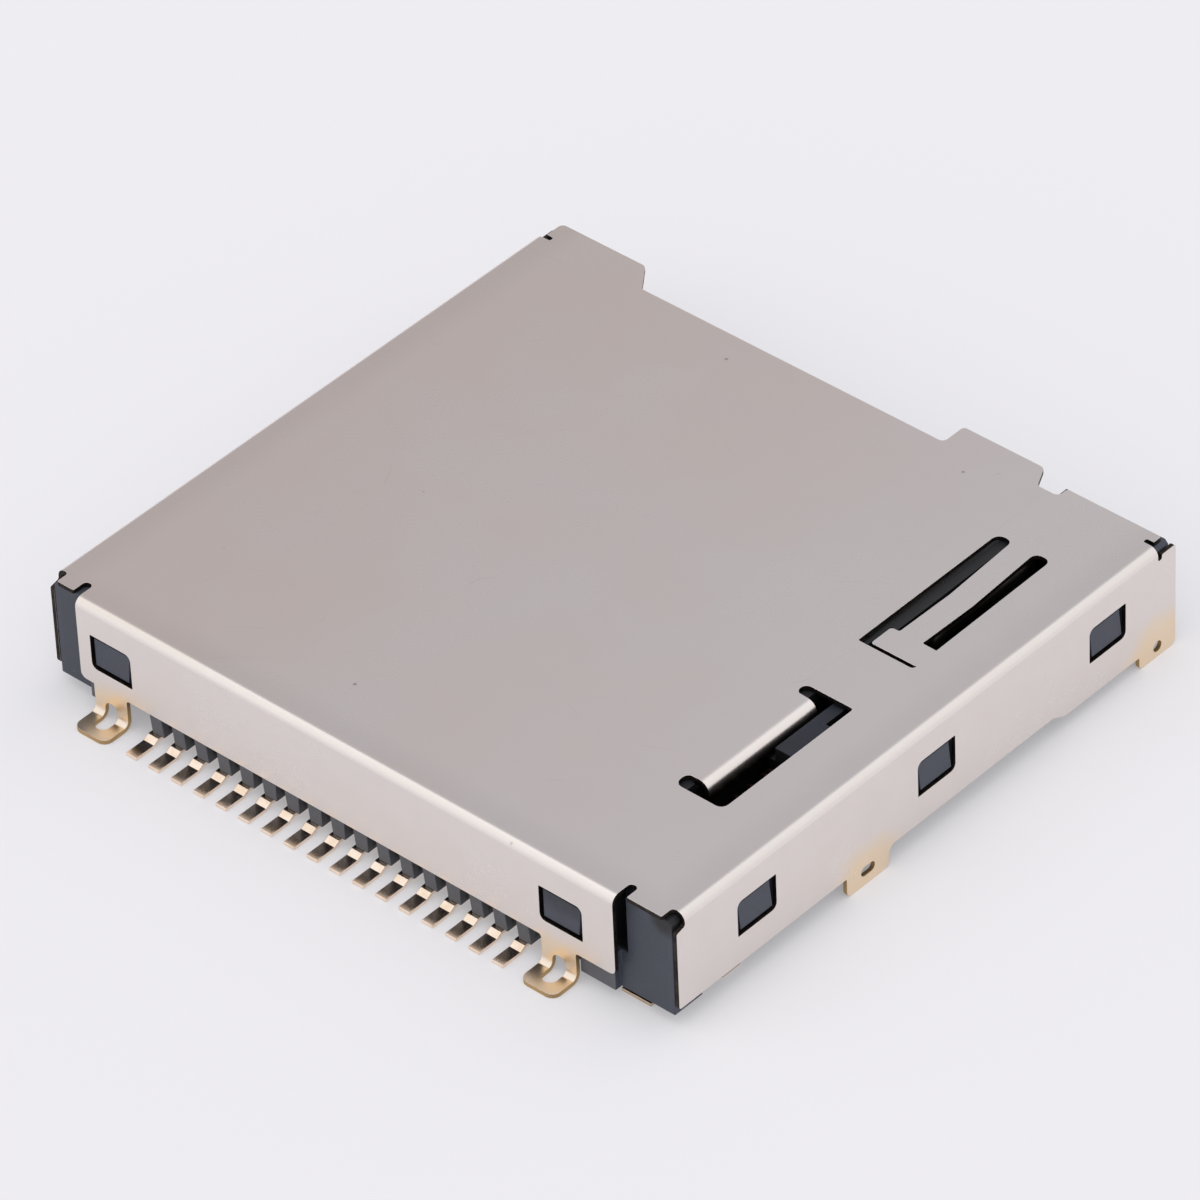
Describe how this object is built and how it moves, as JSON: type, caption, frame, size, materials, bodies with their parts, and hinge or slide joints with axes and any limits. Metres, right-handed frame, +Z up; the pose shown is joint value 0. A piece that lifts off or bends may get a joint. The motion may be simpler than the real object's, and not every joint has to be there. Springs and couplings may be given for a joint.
{
  "type": "card slot connector",
  "caption": "Board-mounted slot for a thick game card: a folded metal shell over a plastic base, spring contacts with solder feet, and a push-push latch.",
  "frame": {"origin": "middle of the body on the board plane, at the underside of the base's stand pad", "axes": "+X along the row of contacts, +Y out of the card mouth, +Z up from the board"},
  "size_m": [0.0406, 0.0392, 0.0067],
  "materials": {
    "shell": "nickel-plated, satin",
    "base": "moulded, fine matt",
    "slider": "moulded, smooth",
    "pin": "drawn wire",
    "spring": "drawn wire",
    "contact": "gold flash over nickel",
    "switch": "gold flash over nickel"
  },
  "bodies": {
    "connector": {"shell": "shell", "base": "base", "coil_spring": "spring", "switch_blade": "switch", "switch_fixed": "switch", "contact_01": "contact", "contact_02": "contact", "contact_03": "contact", "contact_04": "contact", "contact_05": "contact", "contact_06": "contact", "contact_07": "contact", "contact_08": "contact", "contact_09": "contact", "contact_10": "contact", "contact_11": "contact", "contact_12": "contact", "contact_13": "contact", "contact_14": "contact", "contact_15": "contact", "contact_16": "contact", "contact_17": "contact"},
    "slider": {"slider": "slider"},
    "cam_pin": {"cam_pin": "pin"}
  },
  "joints": [
    {"name": "slider_slide", "type": "slide", "parent": "connector", "child": "slider", "axis": [0, -1, 0], "range_m": [0, 0.0034], "stiffness_N_per_m": 150, "springref_m": -0.005, "deforming": ["coil_spring"]},
    {"name": "cam_pin_swing", "type": "hinge", "parent": "connector", "child": "cam_pin", "pos_m": [0.01535, 0.01595, 0.0057], "axis": [0, 0, 1], "range_deg": [0, 7.2]}
  ],
  "couplings": [
    {"joint": "cam_pin_swing", "follows": "slider_slide", "rad_per_m": 36.9}
  ]
}
